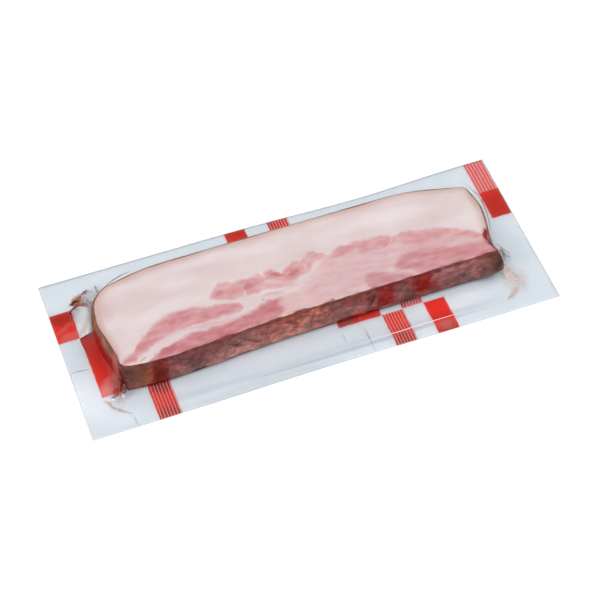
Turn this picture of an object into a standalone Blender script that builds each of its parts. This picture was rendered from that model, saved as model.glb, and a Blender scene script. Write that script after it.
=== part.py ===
"""A slab of smoked belly bacon, vacuum packed in a flat clear pouch: one closed solid out to the film.

Metres, +Z up. The pack lies on its flat underside, and its origin is the middle of that face.
+X runs along the slab, +Y is towards its rind, and -Y is towards its smoked rib side.
"""

import math

import bmesh
import bpy
from mathutils import Vector

MM = 0.001

POUCH_LENGTH = 280.0 * MM
POUCH_WIDTH = 110.8 * MM
MARGIN_THICKNESS = 0.6 * MM
STEPS_ALONG = 62
STEPS_ACROSS = 25

# The slab's cut face, anticlockwise from the rind: x, y, and how far before each corner its rounding starts.
SLAB_HEIGHT = 26.0 * MM
SLAB_CORNERS = (
    (-90.0 * MM, 29.2 * MM, 16.0 * MM),
    (-116.5 * MM, 20.5 * MM, 9.0 * MM),
    (-119.6 * MM, 4.0 * MM, 8.0 * MM),
    (-115.0 * MM, -32.2 * MM, 2.5 * MM),
    (-88.0 * MM, -34.8 * MM, 12.0 * MM),
    (-20.0 * MM, -30.6 * MM, 25.0 * MM),
    (110.8 * MM, -29.6 * MM, 2.5 * MM),
    (108.6 * MM, -19.5 * MM, 5.0 * MM),
    (115.2 * MM, 4.0 * MM, 9.0 * MM),
    (111.0 * MM, 21.0 * MM, 4.0 * MM),
    (76.0 * MM, 29.6 * MM, 14.0 * MM),
)
ROUNDING_STEPS = 6

# The top edge is crisp on the rib side, softer at the ends, and round along the rind.
EDGE_RADIUS_AT_ENDS = 3.0 * MM
EDGE_RADIUS_TOWARDS_RIND = 2.0 * MM
EDGE_STEPS = 3
WALL_BULGE = 0.9 * MM

# Where the film leaves the wall and how far out it meets the back film, all round.
FILLET_REACH = 3.0 * MM
FILLET_HEIGHT = 3.0 * MM
FILLET_STEPS = 5
FILLET_HOLLOW = 2.2

# The film stands off further near these points of the pouch's edge: x, y, spread, extra reach, extra height.
TENTS = (
    (-140.0 * MM, 50.0 * MM, 9.0 * MM, 16.0 * MM, 11.0 * MM),
    (-140.0 * MM, -48.0 * MM, 12.0 * MM, 8.0 * MM, 6.0 * MM),
    (140.0 * MM, -40.0 * MM, 14.0 * MM, 9.0 * MM, 9.0 * MM),
    (140.0 * MM, 46.0 * MM, 12.0 * MM, 7.0 * MM, 8.0 * MM),
    (140.0 * MM, 8.0 * MM, 26.0 * MM, 3.0 * MM, 4.0 * MM),
)

# The flat margin waves a little, and a soft crease runs along it on the rib side.
MARGIN_STEPS = 8
WAVE_HEIGHT = 0.25 * MM
WAVE_LENGTH = 46.0 * MM
CREASE_Y = -47.0 * MM
CREASE_HALF_LENGTH = 100.0 * MM
CREASE_HEIGHT = 1.4 * MM
CREASE_WIDTH = 2.6 * MM

# Loops on the flat cut face, as shares of the way from the pouch's middle line to the slab's outline.
CUT_FACE_SHARES = (0.45, 0.8)

SHARP_ABOVE = math.radians(40)


def rounded(corners):
    """The closed outline through these corners, each replaced by a parabolic arc."""
    outline = []
    for i, (x, y, setback) in enumerate(corners):
        corner = Vector((x, y))
        before = Vector(corners[i - 1][:2]) - corner
        after = Vector(corners[(i + 1) % len(corners)][:2]) - corner
        start = corner + before.normalized() * setback
        end = corner + after.normalized() * setback
        for step in range(ROUNDING_STEPS + 1):
            t = step / ROUNDING_STEPS
            outline.append(start.lerp(corner, t).lerp(corner.lerp(end, t), t))
    return outline


def pouch_edge():
    """Points evenly round the pouch's rectangle, anticlockwise from its far right corner."""
    half_x, half_y = POUCH_LENGTH / 2, POUCH_WIDTH / 2
    corners = (
        Vector((half_x, half_y)),
        Vector((-half_x, half_y)),
        Vector((-half_x, -half_y)),
        Vector((half_x, -half_y)),
    )
    points = []
    for i, corner in enumerate(corners):
        steps = STEPS_ACROSS if i % 2 else STEPS_ALONG
        points += [corner.lerp(corners[(i + 1) % 4], step / steps) for step in range(steps)]
    return points


def spine_point(point):
    """The nearest point of the pouch's middle line, from which each section runs straight out."""
    half_spine = (POUCH_LENGTH - POUCH_WIDTH) / 2
    return Vector((max(-half_spine, min(half_spine, point.x)), 0.0))


def reach_to(outline, origin, direction):
    """How far a ray runs from origin before it leaves the outline."""
    furthest = 0.0
    for i, start in enumerate(outline):
        side = outline[(i + 1) % len(outline)] - start
        across = direction.cross(side)
        if across == 0.0:
            continue
        away = (start - origin).cross(side) / across
        along = (start - origin).cross(direction) / across
        if 0.0 <= along <= 1.0:
            furthest = max(furthest, away)
    return furthest


def bell(distance, width):
    return math.exp(-((distance / width) ** 2))


def fillet_size(edge_point):
    """Reach and height of the film's fillet at the wall's foot, with the tents added."""
    reach, height = FILLET_REACH, FILLET_HEIGHT
    for x, y, spread, more_reach, more_height in TENTS:
        share = bell((edge_point - Vector((x, y))).length, spread)
        reach += share * more_reach
        height += share * more_height
    return reach, height


def margin_height(point):
    """The pouch's thickness out on the flat margin, with its waves and its crease."""
    wave = math.sin(point.x / WAVE_LENGTH * math.tau) * math.cos(point.y / WAVE_LENGTH * math.tau)
    crease = bell(point.y - CREASE_Y, CREASE_WIDTH) * bell(point.x / CREASE_HALF_LENGTH, 1.0)
    return MARGIN_THICKNESS + WAVE_HEIGHT * (1.0 + wave) / 2 + CREASE_HEIGHT * crease


def section(outline, edge_point):
    """The skin's points from the spine's side of the cut face out and down to the pouch's bottom edge."""
    origin = spine_point(edge_point)
    direction = (edge_point - origin).normalized()
    to_slab = reach_to(outline, origin, direction)
    to_edge = (edge_point - origin).length
    radius = EDGE_RADIUS_AT_ENDS + EDGE_RADIUS_TOWARDS_RIND * direction.y
    reach, height = fillet_size(edge_point)

    runs = [(share * to_slab, SLAB_HEIGHT) for share in CUT_FACE_SHARES]
    for step in range(EDGE_STEPS + 1):
        angle = math.pi / 2 * step / EDGE_STEPS
        runs.append((to_slab - radius * (1 - math.sin(angle)), SLAB_HEIGHT - radius * (1 - math.cos(angle))))
    middle = (SLAB_HEIGHT - radius + height) / 2
    runs.append((to_slab + WALL_BULGE, middle))

    wall = to_slab + WALL_BULGE
    foot = wall + reach
    foot_height = margin_height(origin + direction * foot)
    for step in range(FILLET_STEPS + 1):
        share = step / FILLET_STEPS
        rise = (height - foot_height) * (1 - share) ** FILLET_HOLLOW
        runs.append((wall + share * reach, foot_height + rise))
    for step in range(1, MARGIN_STEPS):
        out = foot + (to_edge - foot) * step / MARGIN_STEPS
        runs.append((out, margin_height(origin + direction * out)))
    runs.append((to_edge, MARGIN_THICKNESS))
    runs.append((to_edge, 0.0))
    return [(*(origin + direction * out), z) for out, z in runs]


def finish(name, colour, roughness):
    material = bpy.data.materials.new(name)
    material.use_nodes = True
    shader = material.node_tree.nodes["Principled BSDF"]
    shader.inputs["Base Color"].default_value = (*colour, 1.0)
    shader.inputs["Roughness"].default_value = roughness
    shader.inputs["Metallic"].default_value = 0.0
    return material


def extruded_loop(form, loop, edges):
    """The next loop of vertices, its edges and the faces between, still lying on the loop before."""
    grown = bmesh.ops.extrude_edge_only(form, edges=edges)["geom"]
    fresh = {part for part in grown if isinstance(part, bmesh.types.BMVert)}
    outer = [part for part in grown if isinstance(part, bmesh.types.BMEdge) and part.is_boundary]
    faces = [part for part in grown if isinstance(part, bmesh.types.BMFace)]
    next_vert = {}
    for vert in fresh:
        for edge in vert.link_edges:
            if edge.other_vert(vert) not in fresh:
                next_vert[edge.other_vert(vert)] = vert
    return [next_vert[vert] for vert in loop], outer, faces


def sealed_pack():
    """Loops of edges extruded from the middle of the cut face, over the slab and out to the pouch's edge."""
    outline = rounded(SLAB_CORNERS)
    sections = [section(outline, edge_point) for edge_point in pouch_edge()]
    cured_belly, smoked_bark, pouch_film = range(3)
    last_of_cut_face = len(CUT_FACE_SHARES) + EDGE_STEPS
    last_of_wall = last_of_cut_face + 1 + FILLET_STEPS

    form = bmesh.new()
    loop = bmesh.ops.create_circle(form, segments=len(sections), radius=SLAB_HEIGHT)["verts"]
    for vert, points in zip(loop, sections):
        vert.co = points[0]
    edges = form.edges[:]
    bmesh.ops.contextual_create(form, geom=edges)
    for level in range(1, len(sections[0])):
        loop, edges, faces = extruded_loop(form, loop, edges)
        for vert, points in zip(loop, sections):
            vert.co = points[level]
        for face in faces:
            if level > last_of_wall:
                face.material_index = pouch_film
            elif level > last_of_cut_face:
                face.material_index = smoked_bark
    underside = bmesh.ops.contextual_create(form, geom=edges)["faces"][0]
    underside.material_index = pouch_film
    bmesh.ops.recalc_face_normals(form, faces=form.faces)

    mesh = bpy.data.meshes.new("sealed_pack")
    form.to_mesh(mesh)
    form.free()
    mesh.materials.append(finish("cured_belly", (0.71, 0.52, 0.50), 0.35))
    mesh.materials.append(finish("smoked_bark", (0.13, 0.045, 0.04), 0.4))
    mesh.materials.append(finish("clear_pouch_film", (0.72, 0.78, 0.84), 0.2))
    mesh.shade_smooth()
    mesh.set_sharp_from_angle(angle=SHARP_ABOVE)
    pack = bpy.data.objects.new("sealed_pack", mesh)
    bpy.context.collection.objects.link(pack)


for old in list(bpy.data.objects):
    bpy.data.objects.remove(old)
sealed_pack()
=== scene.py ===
"""A slab of smoked belly bacon, vacuum packed in a clear pouch printed with red blocks and stripes.

Metres, +Z up. +X runs along the slab, +Y points to its rind and -Y to its smoked rib side.
"""

import math

import bmesh
import bpy
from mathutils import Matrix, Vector, noise
from mathutils.bvhtree import BVHTree


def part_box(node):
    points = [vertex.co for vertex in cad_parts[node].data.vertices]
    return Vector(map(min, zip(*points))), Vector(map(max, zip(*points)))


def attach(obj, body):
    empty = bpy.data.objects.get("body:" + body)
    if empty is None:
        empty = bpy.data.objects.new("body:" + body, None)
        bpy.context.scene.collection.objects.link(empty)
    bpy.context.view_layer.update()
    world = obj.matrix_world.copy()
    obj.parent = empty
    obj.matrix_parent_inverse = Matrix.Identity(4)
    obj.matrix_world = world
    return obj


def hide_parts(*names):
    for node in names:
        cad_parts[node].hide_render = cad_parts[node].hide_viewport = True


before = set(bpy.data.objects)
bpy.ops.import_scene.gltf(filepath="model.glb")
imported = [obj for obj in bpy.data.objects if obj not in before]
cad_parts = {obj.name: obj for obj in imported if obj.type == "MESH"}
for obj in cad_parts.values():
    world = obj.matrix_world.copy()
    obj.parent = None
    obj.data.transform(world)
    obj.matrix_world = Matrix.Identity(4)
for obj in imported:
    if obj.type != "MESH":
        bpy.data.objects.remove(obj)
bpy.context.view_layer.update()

# ------------------------------------------------------------------------------------------------
# The slab of belly bacon: a piece cut from a cured and smoked side of pork, lying with one cut face
# up. Back fat and rind are on the far side, the lean runs in bands below them, and the smoked rib
# side is in front. Smoke has tanned the outer millimetres and dried them to a bark.
# ------------------------------------------------------------------------------------------------
MM = 0.001
pack_low, pack_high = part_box("sealed_pack")
POUCH_LENGTH = pack_high.x - pack_low.x
POUCH_WIDTH = pack_high.y - pack_low.y
FILM_THICKNESS = 0.12 * MM
SLAB_BOTTOM = pack_low.z + 2.0 * FILM_THICKNESS
SLAB_TOP = pack_high.z - 2.5 * FILM_THICKNESS

# Corners of the cut face in millimetres, anticlockwise from the rind: x, y, and how far before the
# corner its curve starts.
SLAB_CORNERS = (
    (-88.0, 29.9, 18.0), (-110.2, 23.4, 4.0), (-117.6, 16.2, 5.0), (-120.2, 4.0, 9.0),
    (-116.2, -22.0, 8.0), (-113.9, -31.8, 2.0), (-98.0, -34.2, 8.0), (-76.0, -34.0, 12.0),
    (-25.0, -30.5, 22.0), (40.0, -30.1, 15.0), (111.0, -29.6, 1.8), (108.6, -23.0, 4.0),
    (111.6, -13.0, 6.0), (115.3, 3.0, 8.0), (112.0, 20.8, 3.5), (78.0, 30.1, 16.0),
)
CORNER_STEPS = 7
SLAB_STEPS = (240, 96)
# The vacuum draws the pouch's long edges in a little: how far, round which x and over what spread.
DRAWN_IN_AT_RIND = (2.2 * MM, 55 * MM, 45 * MM)
DRAWN_IN_AT_RIBS = (0.9 * MM, 0.0, 60 * MM)

CUT_FACE_LOOPS = 32
RIM_LOOPS = 5
WALL_LOOPS = 24
UNDERSIDE_LOOPS = 12
RIM_AT_ENDS = 1.3 * MM
RIM_MORE_AT_RIND = 0.4 * MM
RIM_LESS_AT_RIBS = 0.7 * MM
WALL_BULGE = 0.9 * MM
# The side swells most at the near right corner: how far, where and over what spread.
CORNER_BULGE = 4.2 * MM
BULGING_CORNER = Vector((114, -30)) * MM
BULGE_SPREAD = 14 * MM
TO_BULGING_CORNER = 45 * MM
WALL_UNDERCUT = 1.8 * MM
FOOT_ROUNDING = 0.8 * MM
FACE_SWELL = 0.22 * MM
SWELL_FADES_OVER = 6 * MM
BARK_LUMPS = 0.42 * MM
# Upright creases in the bark: x, half width and depth in millimetres.
BARK_CREASES = (
    (-73.0, 1.6, 0.5), (-67.5, 1.8, 0.5), (-47.0, 2.0, 0.5), (-13.0, 1.4, 0.4), (-2.5, 1.2, 0.4),
    (9.0, 2.0, 0.4), (33.5, 1.8, 0.9), (55.0, 1.4, 0.5), (71.0, 1.6, 0.5), (97.0, 2.5, 0.6),
)


def rounded(corners):
    """The closed outline through these corners, each replaced by a parabolic arc."""
    outline = []
    for i, (x, y, setback) in enumerate(corners):
        corner = Vector((x, y))
        before = Vector(corners[i - 1][:2]) - corner
        after = Vector(corners[(i + 1) % len(corners)][:2]) - corner
        start = corner + before.normalized() * setback
        end = corner + after.normalized() * setback
        for step in range(CORNER_STEPS + 1):
            t = step / CORNER_STEPS
            outline.append(start.lerp(corner, t).lerp(corner.lerp(end, t), t) * MM)
    return outline


def reach_to(outline, origin, direction):
    """How far a line runs from origin before it leaves the outline."""
    furthest = 0.0
    for i, start in enumerate(outline):
        side = outline[(i + 1) % len(outline)] - start
        across = direction.cross(side)
        if across != 0.0 and 0.0 <= (start - origin).cross(direction) / across <= 1.0:
            furthest = max(furthest, (start - origin).cross(side) / across)
    return furthest


def bell(distance, width):
    return math.exp(-((distance / width) ** 2))


def smooth(value):
    value = max(0.0, min(1.0, value))
    return value * value * (3.0 - 2.0 * value)


def sections_round(outline, steps_along, steps_across):
    """Lines out from the pouch's middle line: origin, direction, reach to the slab's edge and to
    the pouch's."""
    half_x, half_y = POUCH_LENGTH / 2, POUCH_WIDTH / 2
    corners = [Vector((half_x * x, half_y * y)) for x, y in ((1, 1), (-1, 1), (-1, -1), (1, -1))]
    sections = []
    for i, corner in enumerate(corners):
        steps = steps_across if i % 2 else steps_along
        for step in range(steps):
            edge = corner.lerp(corners[(i + 1) % 4], step / steps)
            pull, pull_at, pull_spread = DRAWN_IN_AT_RIND if edge.y > 0.0 else DRAWN_IN_AT_RIBS
            edge.y *= 1.0 - pull * bell(edge.x - pull_at, pull_spread) / half_y
            origin = Vector((max(half_y - half_x, min(half_x - half_y, edge.x)), 0.0))
            direction = (edge - origin).normalized()
            to_slab, to_edge = reach_to(outline, origin, direction), (edge - origin).length
            sections.append((origin, direction, to_slab, to_edge))
    return sections


def extruded_loop(form, loop, edges):
    """The next loop of vertices and its edges, still lying on the loop before."""
    grown = bmesh.ops.extrude_edge_only(form, edges=edges)["geom"]
    fresh = {part for part in grown if isinstance(part, bmesh.types.BMVert)}
    outer = [part for part in grown if isinstance(part, bmesh.types.BMEdge) and part.is_boundary]
    next_vert = {}
    for vert in fresh:
        for edge in vert.link_edges:
            if edge.other_vert(vert) not in fresh:
                next_vert[edge.other_vert(vert)] = vert
    return [next_vert[vert] for vert in loop], outer


def skin_of_loops(rows, mark_names):
    """A skin of loops, each extruded from the one before. A row is one section's points, each with
    the values of its marks."""
    form = bmesh.new()
    marks = [form.verts.layers.float.new(name) for name in mark_names]
    loop = bmesh.ops.create_circle(form, segments=len(rows), radius=MM)["verts"]
    edges = form.edges[:]
    for level in range(len(rows[0])):
        if level > 0:
            loop, edges = extruded_loop(form, loop, edges)
        for vert, row in zip(loop, rows):
            vert.co, values = row[level]
            for mark, value in zip(marks, values):
                vert[mark] = value
    bmesh.ops.remove_doubles(form, verts=form.verts, dist=0.01 * MM)
    bmesh.ops.recalc_face_normals(form, faces=form.faces)
    return form


def finished_piece(name, form, materials):
    """The smooth-shaded object of a form, at the origin."""
    mesh = bpy.data.meshes.new(name)
    form.to_mesh(mesh)
    form.free()
    for material in materials:
        mesh.materials.append(material)
    mesh.shade_smooth()
    piece = bpy.data.objects.new(name, mesh)
    bpy.context.collection.objects.link(piece)
    return piece


def rim_radius(direction):
    """Radius of the slab's upper edge: round at the rind, sharp at the ribs."""
    towards_rind = RIM_MORE_AT_RIND * max(0.0, direction.y)
    return RIM_AT_ENDS + towards_rind - RIM_LESS_AT_RIBS * max(0.0, -direction.y)


def rim_arc(flat, radius, top, loops):
    """The quarter turn from the flat cut face down into the side: how far out, and how high."""
    turns = [math.pi / 2 * k / loops for k in range(loops + 1)]
    return [(flat + radius * math.sin(turn), top - radius * (1 - math.cos(turn))) for turn in turns]


def wall_offset(origin, direction, share):
    """How far the slab's side stands out from the cut face's outline, from its top (0) to its foot (1)."""
    corner = bell((origin + direction * TO_BULGING_CORNER - BULGING_CORNER).length, BULGE_SPREAD)
    bulge = (WALL_BULGE + CORNER_BULGE * corner) * math.sin(math.pi * share)
    return bulge - WALL_UNDERCUT * max(0.0, -direction.y) * share ** 2


def bark_relief(point):
    """Shrunken lumps and upright creases of the slab's sides."""
    lumps = noise.noise(point * 130.0) + 0.6 * noise.noise(point * 310.0 + Vector((5.0, 0.0, 0.0)))
    wander = 2.4 * noise.noise(Vector((point.x * 60.0, point.y * 60.0, point.z * 130.0)))
    crease = sum(depth * bell(point.x / MM - x - wander, width) for x, width, depth in BARK_CREASES)
    return BARK_LUMPS * lumps - crease * MM


def on_side(z):
    """1 on the slab's side, falling to 0 at its foot and at its upper edge."""
    return smooth((z - SLAB_BOTTOM) / (3 * MM)) * smooth((SLAB_TOP - z) / (2.5 * MM))


def face_swell(point, from_edge):
    """The soft rise and fall of the cut face under the vacuum, none at its edge."""
    swell = noise.noise(point * 45.0) + 0.5 * noise.noise(point * 110.0)
    return FACE_SWELL * swell * smooth(from_edge / SWELL_FADES_OVER)


def slab_section(section):
    """Points from the middle of the upper cut face round to the middle of the lower one."""
    origin, direction, to_slab, _ = section
    radius = rim_radius(direction)
    flat = to_slab - radius
    path = [(flat * k / CUT_FACE_LOOPS, SLAB_TOP) for k in range(CUT_FACE_LOOPS)]
    path += rim_arc(flat, radius, SLAB_TOP, RIM_LOOPS)
    top, foot = SLAB_TOP - radius, SLAB_BOTTOM + FOOT_ROUNDING
    for k in range(1, WALL_LOOPS + 1):
        share = k / WALL_LOOPS
        path.append((to_slab + wall_offset(origin, direction, share), top + (foot - top) * share))
    under = path[-1][0] - FOOT_ROUNDING
    path += [(under * (1 - k / UNDERSIDE_LOOPS), SLAB_BOTTOM) for k in range(UNDERSIDE_LOOPS + 1)]

    row = []
    for out, z in path:
        point = Vector((*(origin + direction * out), z))
        if z > SLAB_TOP - 0.2 * MM:
            point.z += face_swell(point, to_slab - out)
        elif z > SLAB_BOTTOM:
            point += direction.to_3d() * bark_relief(point) * on_side(z)
        inward = (to_slab - out) / MM if z > SLAB_TOP / 2 else (under - out) / MM
        rind = smooth((direction.y - 0.05) / 0.35)
        tanned = smooth((direction.y + 0.72) / 0.12)
        row.append((point, (inward, rind, tanned)))
    return row


def new_material(name):
    """A material of this name, with its node tree and its shader."""
    material = bpy.data.materials.new(name)
    material.use_nodes = True
    return material, material.node_tree, material.node_tree.nodes["Principled BSDF"]


def linear(hex_colour):
    """An sRGB hex colour as linear red, green and blue with an alpha of 1."""
    channels = [int(hex_colour[i:i + 2], 16) / 255 for i in (1, 3, 5)]
    return (*(c / 12.92 if c <= 0.04045 else ((c + 0.055) / 1.055) ** 2.4 for c in channels), 1.0)


def add(tree, kind, *inputs, named=None, stops=None, points=None, **settings):
    """A shader node with its settings, its colour stops or curve points, and its inputs set or
    linked: the first ones in the order of their sockets, the others by name or number."""
    node = tree.nodes.new("ShaderNode" + kind)
    for name, value in settings.items():
        setattr(node, name, value)
    if stops:
        ramp = node.color_ramp.elements
        while len(ramp) < len(stops):
            ramp.new(1.0)
        for element, (position, colour) in zip(ramp, stops):
            element.position = position
            element.color = linear(colour)
    if points:
        curve = node.mapping.curves[0].points
        while len(curve) < len(points):
            curve.new(1.0, 1.0)
        for point, place in zip(curve, points):
            point.location = place
            point.handle_type = "AUTO_CLAMPED"
        node.mapping.update()
    for key, value in [*enumerate(inputs), *(named or {}).items()]:
        if isinstance(value, bpy.types.Node):
            value = next(socket for socket in value.outputs if socket.enabled)
        if isinstance(value, bpy.types.NodeSocket):
            tree.links.new(value, node.inputs[key])
        else:
            node.inputs[key].default_value = value
    return node


def soft_oval(tree, place, centre, radii, turn, strength):
    """The share of a soft-edged oval patch, from its strength in the middle to 0 at its rim: centre
    and radii in millimetres, turn in degrees about each axis."""
    centre, radii = [c * MM for c in centre], [r * MM for r in radii]
    turn = [math.radians(angle) for angle in turn]
    inside = add(tree, "Mapping", place, centre, turn, radii, vector_type="TEXTURE")
    out = add(tree, "VectorMath", inside, operation="LENGTH")
    return add(tree, "MapRange", out, 0.25, 1.0, strength, 0.0, interpolation_type="SMOOTHSTEP")


def flat_oval(tree, place, level, x, y, half_long, half_wide, turn, strength):
    """A soft oval seen from above, much taller than the pack, with its middle at this level."""
    return soft_oval(tree, place, (x, y, level), (half_long, half_wide, 60.0), (0.0, 0.0, turn), strength)


def overlaid(tree, under, share, over):
    """One colour laid over another."""
    return add(tree, "Mix", share, named={6: under, 7: over}, data_type="RGBA")


def patched(tree, colour, place, level, patches):
    """A colour with a table's flat ovals laid over it in turn."""
    for _, *oval, tone in patches:
        colour = overlaid(tree, colour, flat_oval(tree, place, level, *oval), linear(tone))
    return colour


def wandering(tree, place, wanders):
    """The place shifted by soft noise, so that what is drawn on it gets an uneven outline: the size
    of each noise and its shift in millimetres."""
    moved = place
    for size, shift in wanders:
        patches = add(tree, "TexNoise", named={"Vector": place, "Scale": 1.0 / (size * MM), "Detail": 3.0})
        centred = add(tree, "VectorMath", patches.outputs["Color"], [0.5] * 3, operation="SUBTRACT")
        wander = add(tree, "VectorMath", centred, named={"Scale": shift * MM}, operation="SCALE")
        moved = add(tree, "VectorMath", wander, moved, operation="ADD")
    return moved


# The bands of lean on the cut face, laid over the fat in this order: the points of the upper line
# and of the lower line in millimetres, the softness of both, the strength, the pale and deep tones.
LEAN_BANDS = (
    ("pale mixed lean", (
        (-14, -19), (-11, -17), (-6, -16), (0, -13), (5, -10), (9, -7), (14, -2), (20, 0), (30, 3),
        (40, 4), (52, 2), (60, 0), (70, -1), (80, -2), (90, -5), (98, -10), (106, -15), (113, -18)),
     ((-14, -38), (113, -38)), 2.2, 0.95, "#DAB5B4", "#CFA3A7"),
    ("upper left band", (
        (-113, -28), (-109, -26.5), (-105, -24), (-101, -19.5), (-97, -16), (-93, -13), (-88, -9.8),
        (-84, -8), (-79, -6.8), (-72, -6.3), (-65, -7), (-59, -8.8), (-54, -10), (-49, -10.6),
        (-45, -11.2), (-40.5, -13)),
     ((-113, -30.5), (-108, -30.3), (-104, -28.6), (-100, -26.8), (-95, -24.3), (-90, -21.8), (-85, -20.2),
      (-79, -19.2), (-70, -19), (-62, -19.4), (-55, -19), (-49, -19.6), (-44, -19.4), (-40.5, -18)),
     1.8, 1.0, "#D59C9F", "#C98385"),
    ("lower left band", (
        (-98, -33.5), (-95, -31.6), (-91, -29.6), (-87, -27.4), (-83, -25.9), (-78, -24.6), (-71, -23.7),
        (-62, -23.5), (-53, -23.2), (-46, -22.6), (-40, -21.6), (-34, -20.2), (-29, -18.4), (-24, -17.3),
        (-19, -17), (-15, -18.5)),
     ((-98, -38), (-34, -38), (-29, -34), (-24, -31), (-20, -29), (-17, -26.5), (-15, -22)),
     2.0, 1.0, "#CC8A8D", "#C07276"),
    ("middle band", (
        (-54, -3), (-52, -0.6), (-49.5, 1.8), (-46, 3), (-42, 2.8), (-38, 1.5), (-34, 1.5), (-30, 1.6),
        (-26, 2.5), (-22.5, 2.6), (-21.2, 0.2), (-19.8, 2.6), (-16.5, 2.6), (-13.5, 0.8), (-11.5, -0.6),
        (-10, -1.2), (-8.5, 0.8), (-6, 1.5), (-4, 3), (-2.5, 4.2), (-0.5, 4), (1.5, 2.6), (4, 4),
        (6, 6.4), (8.5, 7.2), (11.5, 6.8), (13.5, 4.4), (16, 3.8), (17.5, 1.5), (18.7, 0.2), (20.5, 1.6),
        (24, 3.6), (30, 4.8), (38, 5), (46, 4), (52, 3.2), (56, 2), (58, 0.2), (60.5, 1), (64, 1.6),
        (68, 1.4), (73, -0.4), (79, -1), (85, -2.2), (90, -4.2), (95, -7), (98.5, -9.6), (102, -12),
        (106, -14.5), (110, -17)),
     ((-54, -4.4), (-51, -6.8), (-47, -8.6), (-43, -9.4), (-38, -9.8), (-34, -10.6), (-30, -10.6),
      (-25, -9.2), (-20, -9.6), (-15, -10.5), (-11, -11), (-8, -10.5), (-5, -9), (-1, -8), (4, -6),
      (9, -1), (14, 0), (20, -1.5), (30, -2.5), (40, -4), (50, -5), (56, -4), (62, -6.5), (72, -9),
      (82, -9.5), (92, -11), (98, -14), (104, -18), (110, -21)), 1.6, 0.92, "#D9A8A7", "#CC8A8A"),
    ("lower right band", (
        (50, -20), (56, -15.5), (63, -13), (70, -13.2), (78, -15), (85, -17.5), (92, -19), (100, -19.5),
        (112, -20)),
     ((50, -22), (58, -25), (64, -29), (68, -38), (112, -38)), 2.6, 0.95, "#D0999A", "#C37D80"),
    ("lower middle wedge", (
        (31, -23), (33, -20.5), (36, -19.5), (41, -20), (46, -22), (51, -25), (56, -28), (62, -31)),
     ((31, -24), (33, -38), (62, -38)), 2.6, 0.9, "#C98F92", "#C07F82"),
)
# Thin seams of fat and sinew through the lean: points, half width in millimetres, strength.
FAT_SEAMS = (
    (((48, -6.5), (52, -4.8), (55, -3), (57.5, 0), (58.5, 2)), 0.6, 0.85),
    (((35, 0), (38, -2), (42, -4.8), (46, -6)), 0.5, 0.4),
    (((20, -17), (28, -18), (36, -18.6), (45, -20.4), (52, -23.5), (60, -27)), 0.8, 0.45),
    (((-38, -12), (-30, -13.2), (-24, -12.4), (-16, -13.4), (-8, -13), (0, -11), (8, -8.4), (14, -8)),
     1.4, 0.8),
    (((-36, -15.6), (-28, -15.4), (-20, -15.8), (-12, -16.2), (-5, -15), (2, -12.6), (9, -10)), 0.9, 0.7),
    (((60, -9.5), (68, -10.2), (76, -12), (84, -14.2), (92, -15.4), (100, -17)), 1.2, 0.22),
)
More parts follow.
